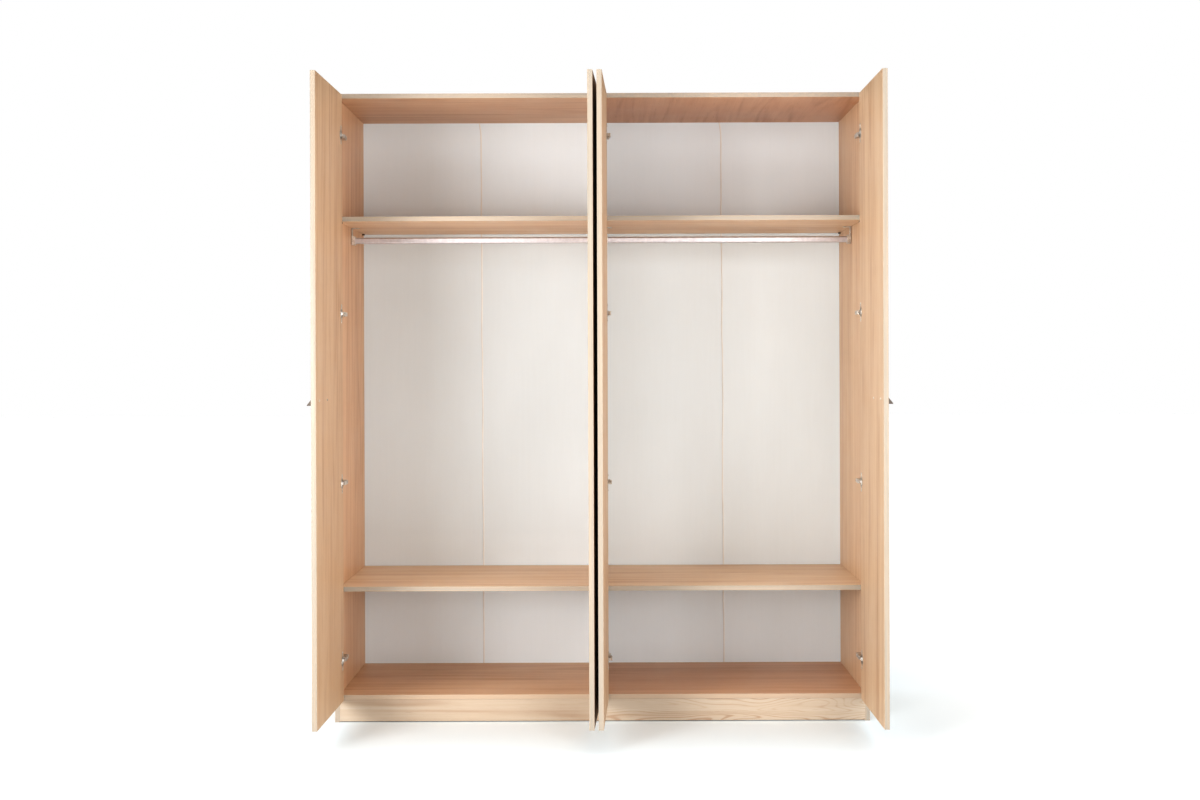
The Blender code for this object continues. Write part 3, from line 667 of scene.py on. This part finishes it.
def add_back_folds():
    """The seam up the middle of each back: a low line in a darker tone, painted shade, and a rib to
    its right in a paler tone, painted highlight.
    """
    for bay in ("left", "right"):
        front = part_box("back_panel_" + bay)[0].y
        low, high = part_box("top_panel_" + bay)
        centre = (low.x + high.x) / 2
        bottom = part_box("bottom_panel_" + bay)[1].z
        ribbon("back_crease_" + bay, centre, *CREASE_SIZE, front, bottom, low.z, CREASE_PAINTED_SHADE)
        ribbon("back_fold_" + bay, centre + FOLD_SHIFT, *FOLD_SIZE, front, bottom, low.z, FOLD_PAINTED_HIGHLIGHT)


add_shelf_pins()
add_bracket_screws()
add_back_folds()


# ---------------------------------------------------------------- stage, light and camera

# Location, target, width and height, and power in watts
SOFTBOXES = {
    "softbox_left": ((-3.0, -4.4, 1.9), (0.3, 0, 1.1), (1.8, 2.2), 138),
    "softbox_left_low": ((-2.4, -4.6, 1.0), (0.3, 0, 1.1), (1.4, 1.4), 99),
    "softbox_right_low": ((2.4, -4.6, 1.0), (-0.3, 0, 1.1), (1.4, 1.4), 56),
    "softbox_right": ((1.5, -5.2, 1.8), (-0.2, 0, 1.1), (1.2, 2.0), 69),
}
SKY_RISE = (0.25, 0.9)              # upward share at which overhead light begins and peaks
SKY_STRENGTH = (0.0, 1.77)          # at the horizon and overhead
VIEW_GAMMA = 0.85
CAMERA_PLACE = (0.018, CARCASS_FRONT - 5.281, 1.208)
CAMERA_LENS = 47.08
CAMERA_SHIFT = (-0.0056, -0.0313)
CAMERA_ROLL = 0.2                   # degrees

FLOOR_SIZE = 60
FLOOR_FADE = (1.0, 1.5)             # from the origin, where the cooler floor gives way to white


def floor_material():
    """Matt floor: a cooler tone round the wardrobe offsets the warm light that it throws."""
    graph = Graph("studio_floor")
    clouds = graph.noise(graph.coordinates(), 1.5, 2.0)
    near = graph.ramp(clouds, [(0.3, srgb(233, 243, 248)), (0.7, srgb(236, 246, 251))])
    far = graph.ramp(clouds, [(0.3, srgb(248, 249, 249)), (0.7, srgb(251, 252, 252))])
    length = graph.node("ShaderNodeVectorMath", {0: graph.coordinates()}, operation='LENGTH')
    reach = graph.remap(length.outputs["Value"], *FLOOR_FADE)
    graph.set(Base_Color=graph.mix(reach, near, far))
    graph.put(graph.shader.inputs["Roughness"], 0.9)
    graph.put(graph.shader.inputs["Specular IOR Level"], 0.1)
    return graph.material


def add_floor():
    bpy.ops.mesh.primitive_plane_add(size=FLOOR_SIZE)
    plane = bpy.context.object
    plane.name = "studio_floor"
    plane.data.materials.append(floor_material())


def area_light(name, location, target, size, power):
    data = bpy.data.lights.new(name, 'AREA')
    data.shape = 'RECTANGLE'
    data.size, data.size_y = size
    data.energy = power
    light = bpy.data.objects.new(name, data)
    bpy.context.scene.collection.objects.link(light)
    light.location = location
    light.rotation_euler = (Vector(target) - Vector(location)).to_track_quat('-Z', 'Y').to_euler()


def studio_world(horizon, zenith):
    """Soft light from overhead, in front of a backdrop that is plain white to the camera."""
    world = bpy.data.worlds.new("studio")
    world.use_nodes = True
    tree = world.node_tree
    place = tree.nodes.new("ShaderNodeTexCoord")
    split = tree.nodes.new("ShaderNodeSeparateXYZ")
    rise = tree.nodes.new("ShaderNodeMapRange")
    rise.interpolation_type = 'SMOOTHSTEP'
    rise.inputs["From Min"].default_value, rise.inputs["From Max"].default_value = SKY_RISE
    rise.inputs["To Min"].default_value = horizon
    rise.inputs["To Max"].default_value = zenith
    rays = tree.nodes.new("ShaderNodeLightPath")
    strength = tree.nodes.new("ShaderNodeMix")
    strength.inputs[3].default_value = 1.0
    tree.links.new(place.outputs["Generated"], split.inputs[0])
    tree.links.new(split.outputs["Z"], rise.inputs["Value"])
    tree.links.new(rays.outputs["Is Camera Ray"], strength.inputs[0])
    tree.links.new(rise.outputs["Result"], strength.inputs[2])
    tree.links.new(strength.outputs[0], tree.nodes["Background"].inputs["Strength"])
    tree.nodes["Background"].inputs["Color"].default_value = (1, 1, 1, 1)
    bpy.context.scene.world = world


def add_camera():
    data = bpy.data.cameras.new("camera")
    data.lens = CAMERA_LENS
    data.sensor_width = 36
    data.shift_x, data.shift_y = CAMERA_SHIFT
    camera = bpy.data.objects.new("camera", data)
    bpy.context.scene.collection.objects.link(camera)
    camera.location = CAMERA_PLACE
    camera.rotation_euler = (math.radians(90), math.radians(CAMERA_ROLL), 0)
    bpy.context.scene.camera = camera


add_floor()
studio_world(*SKY_STRENGTH)
for softbox, settings in SOFTBOXES.items():
    area_light(softbox, *settings)
bpy.context.scene.view_settings.view_transform = 'Standard'
bpy.context.scene.view_settings.gamma = VIEW_GAMMA
add_camera()
